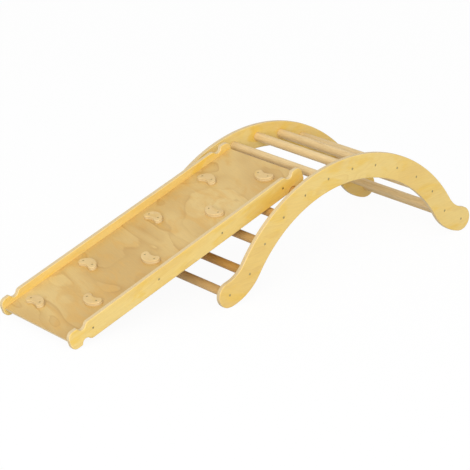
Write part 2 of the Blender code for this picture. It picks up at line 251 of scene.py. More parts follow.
class HoldSizes(bpy.types.PropertyGroup):
    end_radius: length("End radius", "Radius of the crescent's round ends", 0.0125)
    outer_bow: length("Outer bow", "From the line between the ends' middles to the bowed edge", 0.0245)
    inner_bow: length("Inner bow", "From the same line to the hollow edge", 0.0065)
    rim_rounding: length("Rim rounding", "Rounding of the hold's upper rim", 0.003)
    screw_spacing: length("Screw spacing", "Between the two screws of a hold", 0.043)
    screw_shift: length("Screw shift", "From the line between the ends' middles to the screws", 0.0033)
    screw_head: length("Screw head", "Radius of the hold screw's head", 0.0031)
    screw_shank: length("Screw shank", "Radius of the hold screw's shank", 0.0015)
    screw_length: length("Screw length", "Length of the hold screw", 0.018)
    screw_recess: length("Screw recess", "How deep the hold screw's head lies", 0.0006)


class FastenerSizes(bpy.types.PropertyGroup):
    bolt_head: length("Bolt head", "Radius of the panel bolt's head", (BOLT_HIGH.x - BOLT_LOW.x) / 2)
    bolt_shank: length("Bolt shank", "Radius of the panel bolt's shank", 0.0025)
    bolt_socket: length("Bolt socket", "Radius of the bolt's hexagon socket", 0.0016)
    screw_head: length("Screw head", "Radius of the rail screw's head", (SCREW_HIGH.x - SCREW_LOW.x) / 2)
    screw_shank: length("Screw shank", "Radius of the rail screw's shank", 0.0017)
    head_height: length("Head height", "Depth of a countersunk head", 0.002)
    clearance: length("Clearance", "Room round a fastener in its hole", 0.0003)


class Finishes(bpy.types.PropertyGroup):
    veneer_pale: colour("Veneer, pale", "Early wood of the birch veneer", (0.845, 0.605, 0.185))
    veneer_dark: colour("Veneer, dark", "Late wood of the birch veneer", (0.710, 0.450, 0.125))
    veneer_gold: colour("Veneer, golden", "Golden clouds in the birch veneer", (0.820, 0.530, 0.070))
    veneer_bleached: colour("Veneer, bleached", "Pale patches in the birch veneer", (0.815, 0.625, 0.240))
    board_pale: colour("Board, pale", "Early wood of the board's veneer", (0.710, 0.505, 0.190))
    board_dark: colour("Board, dark", "Late wood of the board's veneer", (0.450, 0.245, 0.055))
    board_gold: colour("Board, golden", "Golden clouds in the board's veneer", (0.640, 0.365, 0.080))
    board_bleached: colour("Board, bleached", "Pale patches in the board's veneer", (0.710, 0.535, 0.232))
    hold_pale: colour("Hold, pale", "Early wood of the holds' veneer", (0.720, 0.515, 0.225))
    hold_dark: colour("Hold, dark", "Late wood of the holds' veneer", (0.590, 0.385, 0.145))
    hold_gold: colour("Hold, golden", "Golden clouds in the holds' veneer", (0.690, 0.450, 0.125))
    hold_bleached: colour("Hold, bleached", "Pale patches in the holds' veneer", (0.720, 0.515, 0.225))
    dowel_pale: colour("Dowel, pale", "Early wood of the rungs", (0.825, 0.620, 0.315))
    dowel_dark: colour("Dowel, dark", "Late wood of the rungs", (0.600, 0.385, 0.150))
    # Painted shade: the dark honey colour that the rungs under the ramp are darkened towards
    dowel_painted_shade: colour("Dowel, honey", "Ground colour of the darkest rungs", (0.560, 0.290, 0.060))
    long_ply: colour("Long ply", "Edge of a ply cut along its grain", (0.760, 0.605, 0.335))
    cross_ply: colour("Cross ply", "Edge of a ply cut across its grain", (0.630, 0.465, 0.235))
    glue: colour("Glue line", "Glue between two plies", (0.460, 0.310, 0.150))
    steel: colour("Steel", "Bronzed steel of the fasteners", (0.470, 0.380, 0.180))
    steel_worn: colour("Steel, worn", "Where the bronze has rubbed off", (0.640, 0.560, 0.370))


class StageSettings(bpy.types.PropertyGroup):
    azimuth: angle("Azimuth", "Camera's bearing round the set", -40.474)
    elevation: angle("Elevation", "Camera's angle above the floor", 20.517)
    roll: angle("Roll", "Camera's tilt about its own axis", -0.451)
    distance: length("Distance", "From the camera to the point it aims at", 6.0278)
    focal_length: amount("Focal length", "Camera lens", 150.363, "CAMERA")
    aim: FloatVectorProperty(name="Aim", description="Point that the camera looks at",
                             default=(0.0047, 0.0359, 0.0935), size=3, unit="LENGTH",
                             subtype="TRANSLATION")
    ambient: amount("Ambient", "Strength of the light from all round", 0.62)
    key_azimuth: angle("Key azimuth", "Bearing of the large soft lamp", -50)
    key_elevation: angle("Key elevation", "Angle of the large soft lamp above the floor", 26)
    key_size: length("Key size", "Side of the large soft lamp", 7)
    key_power: amount("Key power", "Power of the large soft lamp", 645, "POWER")
    fill_azimuth: angle("Fill azimuth", "Bearing of the small lamp", 70)
    fill_elevation: angle("Fill elevation", "Angle of the small lamp above the floor", 30)
    fill_size: length("Fill size", "Side of the small lamp", 4)
    fill_power: amount("Fill power", "Power of the small lamp", 24, "POWER")
    lamp_distance: length("Lamp distance", "From the lamps to the set", 9)
    floor_bounce: share("Floor bounce", "How much light the floor throws back on the set", 0.6)
    shadow: share("Floor shadow", "How much of the floor's shadow the camera sees", 0.06)


# Selecting, shaping and finishing


def select_only(item):
    bpy.ops.object.select_all(action="DESELECT")
    item.select_set(True)
    bpy.context.view_layer.objects.active = item


def add_primitive(operator, **settings):
    """Adds a primitive at its size and place, with its transform in its mesh."""
    bpy.ops.object.select_all(action="DESELECT")
    operator(**settings)
    bpy.ops.object.transform_apply(location=True, rotation=True, scale=True)
    return bpy.context.object


def discard(*items):
    for item in items:
        bpy.data.objects.remove(item, do_unlink=True)


def edit(item):
    select_only(item)
    bpy.ops.object.mode_set(mode="EDIT")
    bpy.ops.mesh.select_all(action="SELECT")


def end_edit():
    bpy.ops.object.mode_set(mode="OBJECT")


def select_where(kind, wanted):
    """In edit mode, selects just the faces or the edges that pass a test."""
    bpy.ops.mesh.select_mode(type=kind)
    bpy.ops.mesh.select_all(action="DESELECT")
    mesh = bpy.context.object.data
    bm = bmesh.from_edit_mesh(mesh)
    for part in bm.faces if kind == "FACE" else bm.edges:
        if wanted(part):
            part.select_set(True)
    bmesh.update_edit_mesh(mesh)


def select_end(way):
    """In edit mode, selects the faces that look up for way 1, or down for -1."""
    select_where("FACE", lambda face: way * face.normal.z > SQUARE_ON)


def extrude(x, y, z):
    bpy.ops.mesh.extrude_region_move(TRANSFORM_OT_translate={"value": (x, y, z)})


def round_off(rounding, segments):
    bpy.ops.mesh.bevel(offset=rounding, segments=segments, profile=0.5, affect="EDGES")


def close_up():
    """In edit mode, merges doubles and turns all faces outwards."""
    bpy.ops.mesh.select_all(action="SELECT")
    bpy.ops.mesh.remove_doubles(threshold=MERGE_DISTANCE)
    bpy.ops.mesh.normals_make_consistent(inside=False)


def modify(item, kind, **settings):
    """Gives an object a modifier with these settings, and applies it."""
    modifier = item.modifiers.new(kind, kind)
    for name, value in settings.items():
        setattr(modifier, name, value)
    select_only(item)
    bpy.ops.object.modifier_apply(modifier=modifier.name)


def mirror(item, axes):
    modify(item, "MIRROR", use_axis=[axis in axes for axis in "XYZ"], merge_threshold=MERGE_DISTANCE)


def cut_out(item, cutter):
    """Cuts one object's shape out of another, and removes the cutter."""
    modify(item, "BOOLEAN", operation="DIFFERENCE", solver="EXACT", object=cutter)
    discard(cutter)


def shade(item):
    """Smooth shading, with flat faces kept flat beside their rounded rims."""
    select_only(item)
    bpy.ops.object.shade_smooth_by_angle(angle=CRISP_ANGLE)
    modify(item, "WEIGHTED_NORMAL", keep_sharp=True)


def copy_of(item, name, placing):
    """A copy with its own mesh, placed in that mesh."""
    made = item.copy()
    made.data = item.data.copy()
    made.data.transform(placing)
    made.name = name
    made.data.name = name
    bpy.context.collection.objects.link(made)
    return made


def scattered(item, placings):
    """Joins placed copies of an object into one object, and removes the original."""
    copies = [copy_of(item, f"{item.name}_{number}", placing) for number, placing in enumerate(placings)]
    discard(item)
    select_only(copies[0])
    for copy in copies:
        copy.select_set(True)
    bpy.ops.object.join()
    return copies[0]


def tone_of(number):
    """A steady spread of numbers between 0 and 1."""
    golden_share = 0.618034
    return number * golden_share % 1


def dress(item, name, body, slot, material, tone):
    """Names a finished piece, gives it its looks and its body, and hides the node it stands for.

    The tone is kept on every point of the piece, where a wood reads it.
    """
    item.name = name
    item.data.name = name
    item.data.materials.clear()
    item.data.materials.append(material)
    tones = item.data.attributes.new("tone", "FLOAT", "POINT")
    tones.data.foreach_set("value", [tone] * len(item.data.vertices))
    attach(item, body)
    if name in frame["nodes"]:
        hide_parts(name)


def add_piece(pattern, name, placing, *looks):
    """Adds a placed copy of a finished pattern, and dresses it."""
    dress(copy_of(pattern, name, placing), name, *looks)


def add_pair(plate, start, placing, middle, body, material, tones):
    """Adds a plate on the near side, at the middle given, and turned round on the far side."""
    for side, word in SIDES:
        spot = placing @ moved(middle.x, -side * middle.y, middle.z)
        turn = turned(math.pi if side > 0 else 0, "Z")
        add_piece(plate, f"{start}_{word}", spot @ turn, body, "birch_ply", material, tones[word])
    discard(plate)


# Outlines, drawn in the XZ plane by one vertex that is extruded and spun. Their centres and
# directions are (x, z)

UP = Vector((0, 1))
LEFT = Vector((-1, 0))


def start_outline(x, z, thickness):
    """Starts the outline of a plate's near face, for a plate whose middle lies at y = 0."""
    item = add_primitive(bpy.ops.mesh.primitive_plane_add, size=ARC_SPACING)
    edit(item)
    bpy.ops.mesh.select_mode(type="VERT")
    bpy.ops.mesh.merge(type="CENTER")
    bpy.ops.transform.translate(value=(x, -thickness / 2, z))
    return item


def pen():
    """The point that the outline has reached."""
    bm = bmesh.from_edit_mesh(bpy.context.object.data)
    return next(vert.co.copy() for vert in bm.verts if vert.select)


def line_to(x, z):
    at = pen()
    step = (x - at.x, 0, z - at.z)
    bpy.ops.mesh.extrude_vertices_move(TRANSFORM_OT_translate={"value": step})


def arc_to(centre, heading, way):
    """Goes round a centre until the pen lies in the heading's direction from that centre.

    Seen from the near side, the pen goes anticlockwise for way 1, and clockwise for -1.
    """
    at = pen()
    radius = math.hypot(at.x - centre.x, at.z - centre.y)
    start = math.atan2(at.z - centre.y, at.x - centre.x)
    sweep = way * ((way * (math.atan2(heading.y, heading.x) - start)) % math.tau)
    steps = max(math.ceil(abs(sweep) * radius / ARC_SPACING), math.ceil(abs(sweep) / ARC_STEP))
    bpy.ops.mesh.spin(steps=steps, angle=sweep, center=(centre.x, at.y, centre.y), axis=(0, 1, 0))


def crossing(first, first_radius, second, second_radius):
    """Where two circles cross, on the left of the way from first to second."""
    apart = second - first
    along = (first_radius ** 2 - second_radius ** 2 + apart.length_squared) / (2 * apart.length)
    aside = math.sqrt(first_radius ** 2 - along ** 2)
    unit = apart.normalized()
    return first + along * unit + aside * Vector((-unit.y, unit.x))


def thicken(item, thickness):
    """Fills a closed outline and makes it a plate, which is left in edit mode."""
    edit(item)
    close_up()
    bpy.ops.mesh.edge_face_add()
    extrude(0, thickness, 0)
    close_up()


def round_rims(thickness, rounding, sides):
    """Rounds the rims of a plate's faces at y < 0 (-1) and y > 0 (1), and ends edit mode."""
    def on_rim(edge):
        return any(all(side * vert.co.y > thickness / 4 for vert in edge.verts) for side in sides)
    select_where("EDGE", on_rim)
    round_off(rounding, RIM_SEGMENTS)
    end_edit()


# Fasteners and their holes


def countersunk(head, head_height, shank, reach, above=0):
    """A countersunk blank on the Z axis, its face at z = 0 and its shank down to -reach."""
    item = add_primitive(bpy.ops.mesh.primitive_cone_add, vertices=HEAD_SIDES, radius1=shank, radius2=head,
                         depth=head_height, location=(0, 0, -head_height / 2))
    edit(item)
    select_end(-1)
    extrude(0, 0, head_height - reach)
    if above:
        select_end(1)
        extrude(0, 0, above)
    end_edit()
    return item


def sink(item, depth):
    item.data.transform(moved(0, 0, -depth))


def finish_fastener(blank, head_height, easing, cutters, recess):
    """Eases the edge round a fastener's face, cuts its socket, and lays its face at its depth."""
    edit(blank)
    select_where("EDGE", lambda edge: all(vert.co.z > -head_height / 2 for vert in edge.verts))
    round_off(head_height * easing, EASING_SEGMENTS)
    end_edit()
    for cutter in cutters:
        cut_out(blank, cutter)
    shade(blank)
    sink(blank, recess)
    return blank


def make_bolt(sizes):
    """A countersunk bolt with a hexagon socket."""
    bolt = countersunk(sizes.bolt_head, sizes.head_height, sizes.bolt_shank, BOLT_HIGH.y - BOLT_LOW.y)
    socket = add_primitive(bpy.ops.mesh.primitive_cylinder_add, vertices=6, radius=sizes.bolt_socket,
                           depth=sizes.head_height * SOCKET_DEPTH * 2)
    return finish_fastener(bolt, sizes.head_height, BOLT_EASING, [socket], BOLT_RECESS)


def recess_blade(head, head_height, turn):
    """One arm of a screw's cross recess, narrower at its foot."""
    blade = add_primitive(bpy.ops.mesh.primitive_cube_add, size=1, rotation=(0, 0, turn),
                          scale=(head * BLADE_LENGTH, head * BLADE_WIDTH, head_height * BLADE_HEIGHT))
    edit(blade)
    select_end(-1)
    bpy.ops.transform.resize(value=(BLADE_TAPER, BLADE_TAPER, 1))
    end_edit()
    return blade


def make_screw(head, head_height, shank, reach, recess):
    """A countersunk screw with a point, and a cross recess cut by two tapered blades."""
    screw = countersunk(head, head_height, shank, reach)
    edit(screw)
    select_end(-1)
    extrude(0, 0, -shank)
    bpy.ops.transform.resize(value=(POINT_WIDTH, POINT_WIDTH, 1))
    end_edit()
    blades = [recess_blade(head, head_height, turn) for turn in (0, QUARTER_TURN)]
    return finish_fastener(screw, head_height, SCREW_EASING, blades, recess)


def fastener_placing(name, side):
    """Where a bolt's or rail screw's face lies in its body's frame, its axis pointing out of the set."""
    placing, half_width = (ARCH, HALF_WIDTH) if name.startswith("bolt") else (RAMP, RAMP_HALF_WIDTH)
    at = middle_in(name, placing)
    return moved(at.x, side * half_width, at.z) @ turned(-side * QUARTER_TURN, "X")


def fastener_hole(sizes, head, shank, recess, reach, above):
    """What a fastener's hole takes out, with room round the fastener, and open above its face."""
    room = sizes.clearance
    hole = countersunk(head + room, sizes.head_height, shank + room, reach, above)
    sink(hole, recess)
    return hole


def rail_screw_holes(sizes, placings):
    """What the rail screws' holes take out of a rail or of the board's edges."""
    reach = SCREW_HIGH.y - SCREW_LOW.y + sizes.head_height
    hole = fastener_hole(sizes, sizes.screw_head, sizes.screw_shank, SCREW_RECESS, reach, sizes.head_height)
    return scattered(hole, placings)


def add_fasteners(pattern, start, placing, body):
    """Adds a fastener for each node whose name has this start, on both sides, each turned its own way."""
    for side, word in SIDES:
        for number, name in enumerate(nodes_named(f"{start}_{word}"), 1):
            roll = turned(math.tau * tone_of(number + side), "Z")
            spot = placing @ fastener_placing(name, side) @ roll
            add_piece(pattern, name, spot, body, "bronzed_steel", brown_steel(), tone_of(number))
    discard(pattern)


# Side panels and rungs


def draw_side_panel(sizes):
    """The panel's outline, half drawn and half mirrored: crown, hollow, foot, belly and inner edge."""
    outer = sizes.circle_radius + sizes.band_width / 2
    inner = sizes.circle_radius - sizes.band_width / 2
    crown = Vector((0, (RUNG_LOW.z + RUNG_HIGH.z) / 2 - sizes.circle_radius))
    foot = Vector((FOOT_RUNG.x, FOOT_RUNG.z))
    hollow = crossing(crown, outer + sizes.top_fillet, foot, sizes.foot_radius + sizes.top_fillet)
    belly = crossing(crown, inner + sizes.under_radius, foot, sizes.under_radius - sizes.foot_radius)
    panel = start_outline(0, crown.y + outer, PANEL_THICKNESS)
    arc_to(crown, hollow - crown, -1)
    arc_to(hollow, foot - hollow, 1)
    arc_to(foot, foot - belly, -1)
    arc_to(belly, crown - belly, -1)
    arc_to(crown, UP, 1)
    end_edit()
    mirror(panel, "X")
    return panel


def make_side_panel(sizes, fasteners):
    """One panel, centred on y = 0 with its bolt holes sunk into the face at -y."""
    panel = draw_side_panel(sizes)
    thicken(panel, PANEL_THICKNESS)
    bpy.ops.mesh.bisect(plane_co=(0, 0, 0), plane_no=(0, 0, 1), use_fill=True, clear_inner=True)
    round_rims(PANEL_THICKNESS, sizes.rim_rounding, (-1, 1))
    hole = fastener_hole(fasteners, fasteners.bolt_head, fasteners.bolt_shank, BOLT_RECESS,
                         PANEL_THICKNESS * 2, PANEL_THICKNESS)
    centred = Matrix.Translation(-PANEL_MIDDLE)
    places = [centred @ fastener_placing(name, -1) for name in nodes_named("bolt_near")]
    cut_out(panel, scattered(hole, places))
    shade(panel)
    return panel


def make_rung(sizes, fasteners):
    """A dowel along Y with rounded ends, and a pilot hole in each end for its bolt."""
    reach = RUNG_HIGH.y - RUNG_LOW.y
    rung = add_primitive(bpy.ops.mesh.primitive_cylinder_add, vertices=RUNG_SIDES, radius=sizes.rung_radius,
                         depth=reach, rotation=(QUARTER_TURN, 0, 0))
    edit(rung)
    select_where("EDGE", lambda edge: abs(edge.verts[0].co.y - edge.verts[1].co.y) < reach / 2)
    round_off(sizes.rung_rounding, RUNG_SEGMENTS)
    select_where("FACE", lambda face: abs(face.normal.y) > SQUARE_ON)
    pilot = fasteners.bolt_shank + fasteners.clearance
    bpy.ops.mesh.inset(thickness=sizes.rung_radius - sizes.rung_rounding - pilot)
    depth = BOLT_HIGH.y + HALF_WIDTH - PANEL_THICKNESS + fasteners.head_height
    bpy.ops.mesh.extrude_region_shrink_fatten(TRANSFORM_OT_shrink_fatten={"value": -depth})
    close_up()
    end_edit()
    shade(rung)
    return rung


# Rails, board and holds


def lip_centre(notch, notch_radius, lip, setback, way):
    """Centre of the rounding between a rail's edge and its notch, on the end's side for way 1."""
    drop = setback + lip
    return notch + Vector((way * math.sqrt((notch_radius + lip) ** 2 - drop ** 2), -drop))


def draw_rail(sizes, rung_radius):
    """The rail's outline: a quarter is drawn, from the middle of its end over the notch, and mirrored."""
    end = (RAIL_HIGH.x - RAIL_LOW.x) / 2
    edge = (RAIL_HIGH.z - RAIL_LOW.z) / 2
    corner = Vector((end - sizes.end_radius, edge - sizes.end_radius))
    notch = Vector((end - sizes.notch_from_end, edge + sizes.notch_setback))
    notch_radius = rung_radius + sizes.notch_clearance
    outer = lip_centre(notch, notch_radius, sizes.outer_lip, sizes.notch_setback, 1)
    inner = lip_centre(notch, notch_radius, sizes.inner_lip, sizes.notch_setback, -1)
    rail = start_outline(end, 0, RAIL_THICKNESS)
    line_to(end, corner.y)
    arc_to(corner, UP, 1)
    line_to(outer.x, edge)
    arc_to(outer, notch - outer, 1)
    arc_to(notch, inner - notch, -1)
    arc_to(inner, UP, 1)
    line_to(0, edge)
    end_edit()
    mirror(rail, "XZ")
    return rail


def make_rail(sizes, fasteners, rung_radius):
    """One rail, centred on its own middle with its screw holes sunk into the face at -y."""
    rail = draw_rail(sizes, rung_radius)
    thicken(rail, RAIL_THICKNESS)
    round_rims(RAIL_THICKNESS, sizes.rim_rounding, (-1, 1))
    centred = Matrix.Translation(-RAIL_MIDDLE)
    places = [centred @ fastener_placing(name, -1) for name in nodes_named("rail_screw_near")]
    cut_out(rail, rail_screw_holes(fasteners, places))
    shade(rail)
    return rail


def make_board(sizes, fasteners):
    """The board in the ramp's frame, with its edges eased and holes in them for the rail screws."""
    board = add_primitive(bpy.ops.mesh.primitive_cube_add, size=1, location=BOARD_MIDDLE,
                          scale=BOARD_HIGH - BOARD_LOW)
    edit(board)
    round_off(sizes.board_rounding, EASING_SEGMENTS)
    end_edit()
    places = [fastener_placing(name, side) for side, word in SIDES
              for name in nodes_named(f"rail_screw_{word}")]
    cut_out(board, rail_screw_holes(fasteners, places))
    shade(board)
    return board


def draw_hold(sizes):
    """The crescent's outline in the XZ plane, hollow towards +X, half drawn and half mirrored."""
    end = (HOLD_HIGH.y - HOLD_LOW.y) / 2 - sizes.end_radius
    spare = end ** 2 - sizes.end_radius ** 2
    outer = (spare + sizes.outer_bow ** 2) / (2 * (sizes.outer_bow - sizes.end_radius))
    inner = (spare + sizes.inner_bow ** 2) / (2 * (sizes.end_radius - sizes.inner_bow))
    bowed = Vector((outer - sizes.outer_bow, 0))
    hollow = Vector((inner + sizes.inner_bow, 0))
    tip = Vector((0, end))
    hold = start_outline(-sizes.outer_bow, 0, HOLD_THICKNESS)
    arc_to(bowed, tip - bowed, -1)
    arc_to(tip, hollow - tip, -1)
    arc_to(hollow, LEFT, 1)
    end_edit()
    mirror(hold, "Z")
    return hold


def hold_screw_spots(sizes):
    """Where the hold's two screws stand, on its top."""
    aside = sizes.screw_spacing / 2
    return [moved(-sizes.screw_shift, way * aside, HOLD_THICKNESS / 2) for way in (-1, 1)]


def make_hold(sizes, fasteners):
    """A crescent lying flat, its middle at z = 0, with a rounded upper rim and two screw holes."""
    hold = draw_hold(sizes)
    thicken(hold, HOLD_THICKNESS)
    round_rims(HOLD_THICKNESS, sizes.rim_rounding, (1,))
    hold.data.transform(turned(QUARTER_TURN, "X"))
    hole = fastener_hole(fasteners, sizes.screw_head, sizes.screw_shank, sizes.screw_recess,
                         HOLD_THICKNESS * 2, HOLD_THICKNESS)
    cut_out(hold, scattered(hole, hold_screw_spots(sizes)))
    shade(hold)
    return hold


def hold_placing(name, sizes):
    """Where a hold lies in the ramp's frame: the near ones bow down the slope, the far ones up it."""
    low, high = box_in(name, RAMP)
    middle = (low + high) / 2
    if middle.y < 0:
        return moved(high.x - sizes.end_radius, middle.y, middle.z)
    return moved(low.x + sizes.end_radius, middle.y, middle.z) @ turned(math.pi, "Z")


# Node trees


def fill_inputs(tree, node, inputs):
    """Gives each named or numbered input of a node a value or a link."""
    for key, value in inputs.items():
        if isinstance(value, bpy.types.NodeSocket):
            tree.links.new(value, node.inputs[key])
        else:
            node.inputs[key].default_value = value


def add_node(tree, kind, inputs=None, **options):
    """Adds a node, sets its options and fills its inputs."""
    made = tree.nodes.new(kind)
    row, column = divmod(len(tree.nodes), NODE_COLUMNS)
    made.location = (NODE_WIDTH * column, -NODE_HEIGHT * row)
    for name, value in options.items():
        setattr(made, name, value)
    fill_inputs(tree, made, inputs or {})
    return made


def compute(tree, operation, *values):
    """A Math node on numbers or sockets."""
    return add_node(tree, "ShaderNodeMath", dict(enumerate(values)), operation=operation).outputs[0]


def combine(tree, operation, *values):
    """A Vector Math node on vectors or sockets."""
    made = add_node(tree, "ShaderNodeVectorMath", dict(enumerate(values)), operation=operation)
    return made.outputs["Value" if operation == "DOT_PRODUCT" else "Vector"]


def blend(tree, amount_of_second, first, second, mode="MIX"):
    """A colour mix, from the first colour at 0 to the second at 1."""
    mix = add_node(tree, "ShaderNodeMix", {0: amount_of_second, 6: first, 7: second}, data_type="RGBA",
                   blend_type=mode)
    return mix.outputs[2]


def lay_over(tree, ground, mask, strength, over):
    """Lays a colour over a ground where a mask is 1, as strongly as the strength says."""
    return blend(tree, compute(tree, "MULTIPLY", mask, strength), ground, over)


def remap(tree, value, low, high, to_low=0.0, to_high=1.0):
    made = add_node(tree, "ShaderNodeMapRange", {"Value": value, "From Min": low, "From Max": high,
                                                 "To Min": to_low, "To Max": to_high},
                    interpolation_type="SMOOTHSTEP")
    return made.outputs["Result"]


def noise(tree, vector, scale, detail, roughness, distortion=0.0):
    made = add_node(tree, "ShaderNodeTexNoise", {"Vector": vector, "Scale": scale, "Detail": detail,
                                                 "Roughness": roughness, "Distortion": distortion})
    return made.outputs["Fac"]


def squeezed(tree, vector, along, across):
    """Shrinks a vector along and across the grain."""
    return combine(tree, "MULTIPLY", vector, (along, across, across))


def bumped(tree, height, strength, distance):
    bump = add_node(tree, "ShaderNodeBump", {"Strength": strength, "Distance": distance, "Height": height})
    return bump.outputs["Normal"]


def new_group(name, inputs, outputs):
    """A shader node group, and the sockets that bring in its inputs, given as (name, default)."""
    group = bpy.data.node_groups.new(name, "ShaderNodeTree")
    for label, default in inputs:
        kind = "NodeSocketVector" if isinstance(default, tuple) else "NodeSocketFloat"
        group.interface.new_socket(label, in_out="INPUT", socket_type=kind).default_value = default
    for label in outputs:
        group.interface.new_socket(label, in_out="OUTPUT", socket_type="NodeSocketFloat")
    return group, group.nodes.new("NodeGroupInput").outputs


def use_group(tree, group, inputs):
    return add_node(tree, "ShaderNodeGroup", inputs, node_tree=group).outputs


def wood_figure_group():
    """The figure of cut wood, with its grain along the vector's x.

    Rings are the contour lines of a slow, stretched noise, pale in early wood and dark in late
    wood. Fibre is a fine lengthwise streak, Flecks are short dark marks, Tone drifts slowly, and
    Clouds are soft patches about half as wide as the figure.
    """
    name = "Wood Figure"
    if name in bpy.data.node_groups:
        return bpy.data.node_groups[name]
    inputs = (("Vector", (0.0, 0.0, 0.0)), *zip(FIGURE_INPUTS, (0.1, 4.0, 8.0, 0.4)))
    tree, given = new_group(name, inputs, ("Rings", "Fibre", "Flecks", "Tone", "Clouds"))
    vector = given["Vector"]
    across = compute(tree, "DIVIDE", 1.0, given["Figure Size"])
    along = compute(tree, "DIVIDE", across, given["Stretch"])
    ratio = add_node(tree, "ShaderNodeCombineXYZ", {"X": along, "Y": across, "Z": across}).outputs[0]
    slow = combine(tree, "MULTIPLY", vector, ratio)
    field = noise(tree, slow, 1.0, 2.0, 0.42, given["Waviness"])
    fine = noise(tree, squeezed(tree, vector, 25.0, 420.0), 1.0, 2.0, 0.5)
    ragged = compute(tree, "MULTIPLY_ADD", fine, 0.012, field)
    place = compute(tree, "FRACT", compute(tree, "MULTIPLY", ragged, given["Ring Count"]))
    ramp = add_node(tree, "ShaderNodeValToRGB", {"Fac": place})
    ramp.color_ramp.interpolation = "EASE"
    for position, _ in RING_STOPS[1:-1]:
        ramp.color_ramp.elements.new(position)
    for stop, (_, grey) in zip(ramp.color_ramp.elements, RING_STOPS):
        stop.color = (grey, grey, grey, 1)
    fading = remap(tree, noise(tree, slow, 1.7, 1.0, 0.5), 0.35, 0.65, 0.35, 1.0)
    add_node(tree, "NodeGroupOutput", {
        "Rings": compute(tree, "MULTIPLY", ramp.outputs["Color"], fading),
        "Fibre": fine,
        "Flecks": remap(tree, noise(tree, squeezed(tree, vector, 70.0, 800.0), 1.0, 1.0, 0.5), 0.62, 0.74),
        "Tone": noise(tree, slow, 0.6, 2.0, 0.55),
        "Clouds": remap(tree, noise(tree, slow, 2.2, 4.0, 0.55, 0.9), 0.47, 0.68),
    })
    return tree


def ply_layers_group():
    """The plies that a cut through plywood shows, with the sheet's thickness along the vector's z.

    Middle is how far the sheet's middle lies from z = 0, on either side. Cross marks the plies that
    are cut across their grain, Glue the lines between plies, and Inside all but the face veneers.
    """
    name = "Ply Layers"
    if name in bpy.data.node_groups:
        return bpy.data.node_groups[name]
    inputs = (("Vector", (0.0, 0.0, 0.0)), ("Middle", 0.0), ("Thickness", 0.015), ("Ply", 0.0014))
    tree, given = new_group(name, inputs, ("Cross", "Glue", "Inside"))
    parts = add_node(tree, "ShaderNodeSeparateXYZ", {"Vector": given["Vector"]})
    outwards = compute(tree, "ABSOLUTE", parts.outputs["Z"])
    from_middle = compute(tree, "ABSOLUTE", compute(tree, "SUBTRACT", outwards, given["Middle"]))
    depth = compute(tree, "SUBTRACT", compute(tree, "MULTIPLY", given["Thickness"], 0.5), from_middle)
    wander = noise(tree, squeezed(tree, given["Vector"], 30.0, 30.0), 1.0, 1.0, 0.5)
    wavy = compute(tree, "MULTIPLY_ADD", wander, 0.0004, depth)
    count = compute(tree, "DIVIDE", wavy, given["Ply"])
    odd = compute(tree, "FRACT", compute(tree, "MULTIPLY", count, 0.5))
    line = remap(tree, compute(tree, "PINGPONG", count, 0.5), 0.03, 0.12, 1.0, 0.0)
    add_node(tree, "NodeGroupOutput", {
        "Cross": remap(tree, odd, 0.48, 0.52),
        "Glue": compute(tree, "MULTIPLY", line, compute(tree, "GREATER_THAN", count, 0.6)),
        "Inside": remap(tree, count, 0.9, 1.0),
    })
    return tree


def rim_wear_and_highlight_group():
    """Where hands rub a plate's rims, and where a painted highlight lies along them: in patches, between
    its face, square to the axis, and its edge.
    """
    name = "Rim Wear"
    if name in bpy.data.node_groups:
        return bpy.data.node_groups[name]
    inputs = (("Vector", (0.0, 0.0, 0.0)), ("Normal", (0.0, 0.0, 1.0)), ("Axis", (0.0, 1.0, 0.0)),
              ("Patch Size", 0.03))
    tree, given = new_group(name, inputs, ("Wear",))
    facing = combine(tree, "DOT_PRODUCT", given["Normal"], given["Axis"])
    square = compute(tree, "MULTIPLY", facing, facing)
    rest = compute(tree, "SUBTRACT", 1.0, square)
    rim = compute(tree, "MULTIPLY", compute(tree, "MULTIPLY", square, rest), 4.0)
    patches = noise(tree, given["Vector"], compute(tree, "DIVIDE", 1.0, given["Patch Size"]), 3.0, 0.6)
    # The rims' wear together with their painted highlight, in patches
    wear_and_highlight = compute(tree, "MULTIPLY", rim, remap(tree, patches, 0.4, 0.65))
    add_node(tree, "NodeGroupOutput", {"Wear": wear_and_highlight})
    return tree


def new_material(name):
    material = bpy.data.materials.new(name)
    material.use_nodes = True
    tree = material.node_tree
    return material, tree, tree.nodes["Principled BSDF"]


def finish(name):
    """One of the finishes' colours, as an opaque one."""
    return (*getattr(bpy.context.scene.climbing_finishes, name), 1)


def placed_vector(tree, placing):
    """Object coordinates measured in a placed frame, and the surface's normal."""
    coordinates = add_node(tree, "ShaderNodeTexCoord")
    mapping = add_node(tree, "ShaderNodeMapping", {"Vector": coordinates.outputs["Object"],
                                                   "Location": placing.translation,
                                                   "Rotation": placing.to_euler()}, vector_type="TEXTURE")
    return mapping.outputs["Vector"], coordinates.outputs["Normal"]


def piece_figure(tree, vector, spread, figure):
    """The piece's tone, its own place in the wood, and the wood's figure there."""
    tone = add_node(tree, "ShaderNodeAttribute", attribute_name="tone").outputs["Fac"]
    shifted = combine(tree, "ADD", vector, compute(tree, "MULTIPLY", tone, spread))
    inputs = {"Vector": shifted, **dict(zip(FIGURE_INPUTS, figure))}
    return tone, shifted, use_group(tree, wood_figure_group(), inputs)


def grained(tree, wood, ground, dark, rings, streaks, flecks):
    """A ground with the wood's rings, streaks and flecks on it.

    Rings and flecks say how strong those are, and streaks how dark and how bright its own go.
    """
    ringed = lay_over(tree, ground, wood["Rings"], rings, dark)
    streaked = blend(tree, 1.0, ringed, remap(tree, wood["Fibre"], 0.3, 0.7, *streaks), "MULTIPLY")
    return lay_over(tree, streaked, wood["Flecks"], flecks, dark)


